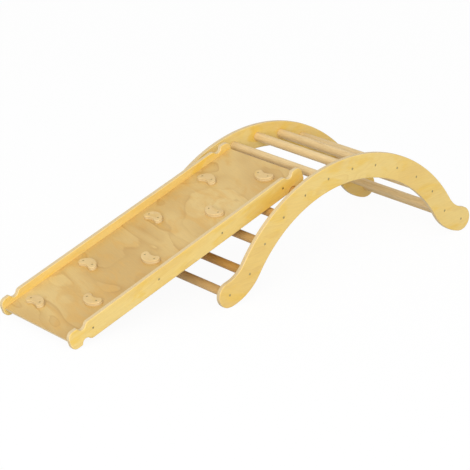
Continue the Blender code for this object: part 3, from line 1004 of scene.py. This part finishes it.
def plywood(name):
    """A varnished plywood: figured veneer on its faces, plies on its edges, and rims paled by use and by a
    painted highlight.

    A piece's tone says how golden its veneer is.
    """
    if name in bpy.data.materials:
        return bpy.data.materials[name]
    placing, faces, figure, ring_strength, roughness, middle, thickness, plies = PLYWOODS[name]
    material, tree, surface = new_material(name)
    vector, normal = placed_vector(tree, placing)
    tone, shifted, wood = piece_figure(tree, vector, PLYWOOD_SPREAD, figure)
    layers = use_group(tree, ply_layers_group(), {"Vector": vector, "Middle": middle,
                                                  "Thickness": thickness, "Ply": thickness / plies})
    axis = placing.to_3x3().col[2]
    rim = use_group(tree, rim_wear_and_highlight_group(), {"Vector": shifted, "Normal": normal, "Axis": axis})

    shades = ("pale", "dark", "gold", "bleached")
    pale, dark, golden, bleached = (finish(f"{faces}_{shade_name}") for shade_name in shades)
    drift = remap(tree, wood["Tone"], 0.35, 0.7, 0.0, 0.5)
    bleach = remap(tree, wood["Tone"], 0.5, 0.3, 0.0, 0.5)
    ground = blend(tree, bleach, blend(tree, drift, pale, dark), bleached)
    # A higher tone gives stronger golden clouds; on the far panel and rail this is partly painted light on
    # their shaded inner faces
    gilding = compute(tree, "MULTIPLY_ADD", tone, 0.35, 0.55)
    clouded = lay_over(tree, ground, wood["Clouds"], gilding, golden)
    veneer = grained(tree, wood, clouded, dark, ring_strength, (0.97, 1.03), 0.25)

    cross_ply = finish("cross_ply")
    grit = remap(tree, noise(tree, vector, 900.0, 2.0, 0.6), 0.35, 0.7)
    end_grain = blend(tree, 0.7, blend(tree, grit, cross_ply, finish("glue")), cross_ply)
    plies_cut = blend(tree, layers["Cross"], finish("long_ply"), end_grain)
    edged = blend(tree, layers["Inside"], veneer, plies_cut)
    glued = lay_over(tree, edged, layers["Glue"], 0.35, finish("glue"))
    # Painted highlight along the rims, together with wear: they are paled towards the long ply's colour
    worn_and_highlighted = lay_over(tree, glued, rim["Wear"], 0.4, finish("long_ply"))

    satin = remap(tree, wood["Fibre"], 0.2, 0.8, roughness - 0.05, roughness + 0.07)
    rough = compute(tree, "MULTIPLY_ADD", layers["Inside"], 0.15, satin)
    worn = compute(tree, "MULTIPLY_ADD", rim["Wear"], -0.08, rough)
    raised = compute(tree, "MULTIPLY_ADD", wood["Rings"], -0.35, wood["Fibre"])
    sunk = compute(tree, "MULTIPLY_ADD", layers["Glue"], -1.0, raised)
    pitted = compute(tree, "MULTIPLY_ADD", wood["Flecks"], -0.8, sunk)
    fill_inputs(tree, surface, {"Base Color": worn_and_highlighted, "Roughness": worn, "Coat Weight": 0.12,
                                "Coat Roughness": 0.3, "Normal": bumped(tree, pitted, 0.35, 0.00015)})
    return material


def turned_dowel():
    """A turned dowel: long streaks, short dark flecks and a tone of its own for each rung, which paints
    shade in a dark honey colour on the rungs under the ramp.
    """
    name = "turned_dowel"
    if name in bpy.data.materials:
        return bpy.data.materials[name]
    material, tree, surface = new_material(name)
    vector, _ = placed_vector(tree, ARCH @ turned(QUARTER_TURN, "Z"))
    tone, _, wood = piece_figure(tree, vector, DOWEL_SPREAD, DOWEL_FIGURE)
    dark = finish("dowel_dark")
    drift = remap(tree, wood["Tone"], 0.3, 0.7, 0.0, 0.35)
    ground = blend(tree, drift, finish("dowel_pale"), dark)
    # Painted shade: the rungs under the ramp, whose tones are high, are darkened towards the honey colour
    shade_painted = blend(tree, remap(tree, tone, 0.3, 1.0), ground, finish("dowel_painted_shade"))
    grain = grained(tree, wood, shade_painted, dark, 0.45, (0.9, 1.05), 0.5)
    rough = remap(tree, wood["Fibre"], 0.2, 0.8, 0.44, 0.58)
    pitted = compute(tree, "MULTIPLY_ADD", wood["Flecks"], -0.8, wood["Fibre"])
    fill_inputs(tree, surface, {"Base Color": grain, "Roughness": rough,
                                "Normal": bumped(tree, pitted, 0.4, 0.00015)})
    return material


def brown_steel():
    """Bronzed steel, rubbed brighter in patches, with fine scratches."""
    name = "brown_steel"
    if name in bpy.data.materials:
        return bpy.data.materials[name]
    material, tree, surface = new_material(name)
    vector = add_node(tree, "ShaderNodeTexCoord").outputs["Object"]
    patches = remap(tree, noise(tree, vector, 700.0, 3.0, 0.6), 0.5, 0.72)
    scratches = noise(tree, squeezed(tree, vector, 300.0, 3000.0), 1.0, 2.0, 0.6)
    rubbed = lay_over(tree, finish("steel"), patches, 0.5, finish("steel_worn"))
    rough = remap(tree, scratches, 0.3, 0.7, 0.32, 0.52)
    fill_inputs(tree, surface, {"Base Color": rubbed, "Roughness": rough, "Metallic": 1.0,
                                "Normal": bumped(tree, scratches, 0.25, 0.00005)})
    return material


# The stage


def seen_by_camera(tree):
    """1 for what the camera sees, also by reflection or through glass, and 0 for light on the set."""
    light = add_node(tree, "ShaderNodeLightPath").outputs
    seen = compute(tree, "MAXIMUM", light["Is Camera Ray"], light["Is Glossy Ray"])
    return compute(tree, "MAXIMUM", seen, light["Is Transmission Ray"])


def make_floor(settings):
    """A floor that the camera sees white, with a soft part of its shadow, and that lights the set less."""
    floor = add_primitive(bpy.ops.mesh.primitive_plane_add, size=FLOOR_SIZE)
    floor.name = "floor"
    material, tree, surface = new_material("white_floor")
    tree.nodes.remove(surface)
    seen = seen_by_camera(tree)
    dim = (settings.floor_bounce, settings.floor_bounce, settings.floor_bounce, 1)
    paint = add_node(tree, "ShaderNodeBsdfDiffuse", {"Color": blend(tree, seen, dim, WHITE)})
    glow = add_node(tree, "ShaderNodeEmission", {"Color": WHITE, "Strength": 1.0})
    share_lit = compute(tree, "MULTIPLY", seen, 1 - settings.shadow)
    mixed = add_node(tree, "ShaderNodeMixShader", {0: share_lit, 1: paint.outputs[0], 2: glow.outputs[0]})
    tree.links.new(mixed.outputs[0], tree.nodes["Material Output"].inputs["Surface"])
    floor.data.materials.append(material)


def make_world(settings):
    """White to the camera and in reflections, and an even ambient light on the set."""
    world = bpy.data.worlds.new("studio")
    world.use_nodes = True
    bpy.context.scene.world = world
    tree = world.node_tree
    tree.nodes.clear()
    ambient = add_node(tree, "ShaderNodeBackground", {"Color": WHITE, "Strength": settings.ambient})
    white = add_node(tree, "ShaderNodeBackground", {"Color": WHITE, "Strength": 1.0})
    mixed = add_node(tree, "ShaderNodeMixShader", {0: seen_by_camera(tree), 1: ambient.outputs[0],
                                                   2: white.outputs[0]})
    add_node(tree, "ShaderNodeOutputWorld", {"Surface": mixed.outputs[0]})


def towards(bearing, rise):
    """The direction that lies at a bearing round the set and at an angle above the floor."""
    return Vector((math.sin(bearing) * math.cos(rise), -math.cos(bearing) * math.cos(rise), math.sin(rise)))


def add_lamp(settings, start):
    """A square area lamp that faces the middle of the set, from the settings with this start."""
    direction = towards(getattr(settings, f"{start}_azimuth"), getattr(settings, f"{start}_elevation"))
    data = bpy.data.lights.new(f"{start}_lamp", "AREA")
    data.shape = "SQUARE"
    data.size = getattr(settings, f"{start}_size")
    data.energy = getattr(settings, f"{start}_power")
    lamp = bpy.data.objects.new(data.name, data)
    bpy.context.collection.objects.link(lamp)
    lamp.location = direction * settings.lamp_distance
    lamp.rotation_euler = direction.to_track_quat("Z", "Y").to_euler()


def make_camera(settings):
    back = towards(settings.azimuth, settings.elevation)
    data = bpy.data.cameras.new("camera")
    data.lens = settings.focal_length
    data.clip_end = settings.distance * SIGHT_MULTIPLE
    camera = bpy.data.objects.new("camera", data)
    bpy.context.collection.objects.link(camera)
    camera.location = Vector(settings.aim) + back * settings.distance
    turn = back.to_track_quat("Z", "Y").to_matrix() @ Matrix.Rotation(settings.roll, 3, "Z")
    camera.rotation_euler = turn.to_euler()
    bpy.context.scene.camera = camera


# Operators


class CLIMBING_OT_side_panels(bpy.types.Operator):
    """Add the two curved side panels"""
    bl_idname = "climbing.side_panels"
    bl_label = "Side Panels"

    def execute(self, context):
        scene = context.scene
        panel = make_side_panel(scene.climbing_arch, scene.climbing_fasteners)
        add_pair(panel, "side_panel", ARCH, PANEL_MIDDLE, "arch", plywood("panel_plywood"), PANEL_TONES)
        return {"FINISHED"}


class CLIMBING_OT_rungs(bpy.types.Operator):
    """Add the thirteen rungs"""
    bl_idname = "climbing.rungs"
    bl_label = "Rungs"

    def execute(self, context):
        scene = context.scene
        rung = make_rung(scene.climbing_arch, scene.climbing_fasteners)
        for number, name in enumerate(nodes_named("rung_"), 1):
            roll = turned(math.tau * tone_of(number), "Y")
            spot = Matrix.Translation(middle_in(name, WORLD)) @ roll
            # The rungs under the ramp take their painted shade from their tones
            tone = UNDER_RAMP_SHADE_TONES.get(name, PALE_RUNG_SPREAD * tone_of(number))
            add_piece(rung, name, spot, "arch", "beech_dowel", turned_dowel(), tone)
        discard(rung)
        return {"FINISHED"}


class CLIMBING_OT_bolts(bpy.types.Operator):
    """Add the bolts that hold the rungs between the side panels"""
    bl_idname = "climbing.bolts"
    bl_label = "Bolts"

    def execute(self, context):
        add_fasteners(make_bolt(context.scene.climbing_fasteners), "bolt", ARCH, "arch")
        return {"FINISHED"}


class CLIMBING_OT_rails(bpy.types.Operator):
    """Add the ramp's two notched rails"""
    bl_idname = "climbing.rails"
    bl_label = "Ramp Rails"

    def execute(self, context):
        scene = context.scene
        rail = make_rail(scene.climbing_ramp, scene.climbing_fasteners, scene.climbing_arch.rung_radius)
        add_pair(rail, "ramp_rail", RAMP, RAIL_MIDDLE, "ramp", plywood("rail_plywood"), RAIL_TONES)
        return {"FINISHED"}


class CLIMBING_OT_board(bpy.types.Operator):
    """Add the ramp's board"""
    bl_idname = "climbing.board"
    bl_label = "Ramp Board"

    def execute(self, context):
        scene = context.scene
        board = make_board(scene.climbing_ramp, scene.climbing_fasteners)
        board.data.transform(RAMP)
        dress(board, "ramp_board", "ramp", "board_ply", plywood("board_plywood"), BOARD_TONE)
        return {"FINISHED"}


class CLIMBING_OT_holds(bpy.types.Operator):
    """Add the eight crescent holds, with two screws in each"""
    bl_idname = "climbing.holds"
    bl_label = "Climbing Holds"

    def execute(self, context):
        sizes = context.scene.climbing_holds
        fasteners = context.scene.climbing_fasteners
        hold = make_hold(sizes, fasteners)
        screw = make_screw(sizes.screw_head, fasteners.head_height, sizes.screw_shank, sizes.screw_length,
                           sizes.screw_recess)
        for number, name in enumerate(nodes_named("hold_"), 1):
            tone = tone_of(number)
            spot = RAMP @ hold_placing(name, sizes)
            roll = turned(math.tau * tone, "Z")
            add_piece(hold, name, spot, "ramp", "hold_ply", plywood("hold_plywood"), tone)
            for end, screw_spot in zip("ab", hold_screw_spots(sizes)):
                add_piece(screw, f"screw_{name}_{end}", spot @ screw_spot @ roll, "ramp", "bronzed_steel",
                          brown_steel(), tone)
        discard(hold, screw)
        return {"FINISHED"}


class CLIMBING_OT_rail_screws(bpy.types.Operator):
    """Add the screws that hold the rails to the board"""
    bl_idname = "climbing.rail_screws"
    bl_label = "Rail Screws"

    def execute(self, context):
        sizes = context.scene.climbing_fasteners
        reach = SCREW_HIGH.y - SCREW_LOW.y - sizes.screw_shank
        screw = make_screw(sizes.screw_head, sizes.head_height, sizes.screw_shank, reach, SCREW_RECESS)
        add_fasteners(screw, "rail_screw", RAMP, "ramp")
        return {"FINISHED"}


class CLIMBING_OT_stage(bpy.types.Operator):
    """Add the white floor, the lamps, the world and the camera"""
    bl_idname = "climbing.stage"
    bl_label = "Studio"

    def execute(self, context):
        settings = context.scene.climbing_stage
        make_floor(settings)
        make_world(settings)
        add_lamp(settings, "key")
        add_lamp(settings, "fill")
        make_camera(settings)
        context.scene.view_settings.view_transform = "Standard"
        return {"FINISHED"}


class CLIMBING_PT_set(bpy.types.Panel):
    """Lists the pieces of the climbing set"""
    bl_label = "Wooden Climbing Set"
    bl_idname = "CLIMBING_PT_set"
    bl_space_type = "VIEW_3D"
    bl_region_type = "UI"
    bl_category = "Climbing Set"

    def draw(self, context):
        for operator in OPERATORS:
            self.layout.operator(operator.bl_idname)
        for name in SETTINGS:
            box = self.layout.box()
            group = getattr(context.scene, name)
            for label in group.bl_rna.properties.keys():
                if label not in ("rna_type", "name"):
                    box.prop(group, label)


SETTINGS = {
    "climbing_arch": ArchSizes,
    "climbing_ramp": RampSizes,
    "climbing_holds": HoldSizes,
    "climbing_fasteners": FastenerSizes,
    "climbing_finishes": Finishes,
    "climbing_stage": StageSettings,
}

OPERATORS = (
    CLIMBING_OT_side_panels,
    CLIMBING_OT_rungs,
    CLIMBING_OT_bolts,
    CLIMBING_OT_rails,
    CLIMBING_OT_board,
    CLIMBING_OT_holds,
    CLIMBING_OT_rail_screws,
    CLIMBING_OT_stage,
)


def register():
    for name, group in SETTINGS.items():
        bpy.utils.register_class(group)
        setattr(bpy.types.Scene, name, PointerProperty(type=group))
    for operator in OPERATORS:
        bpy.utils.register_class(operator)
    bpy.utils.register_class(CLIMBING_PT_set)


def unregister():
    bpy.utils.unregister_class(CLIMBING_PT_set)
    for operator in reversed(OPERATORS):
        bpy.utils.unregister_class(operator)
    for name, group in reversed(SETTINGS.items()):
        delattr(bpy.types.Scene, name)
        bpy.utils.unregister_class(group)


def main():
    register()
    bpy.ops.climbing.side_panels()
    bpy.ops.climbing.rungs()
    bpy.ops.climbing.bolts()
    bpy.ops.climbing.rails()
    bpy.ops.climbing.board()
    bpy.ops.climbing.holds()
    bpy.ops.climbing.rail_screws()
    bpy.ops.climbing.stage()


if __name__ == "__main__":
    main()
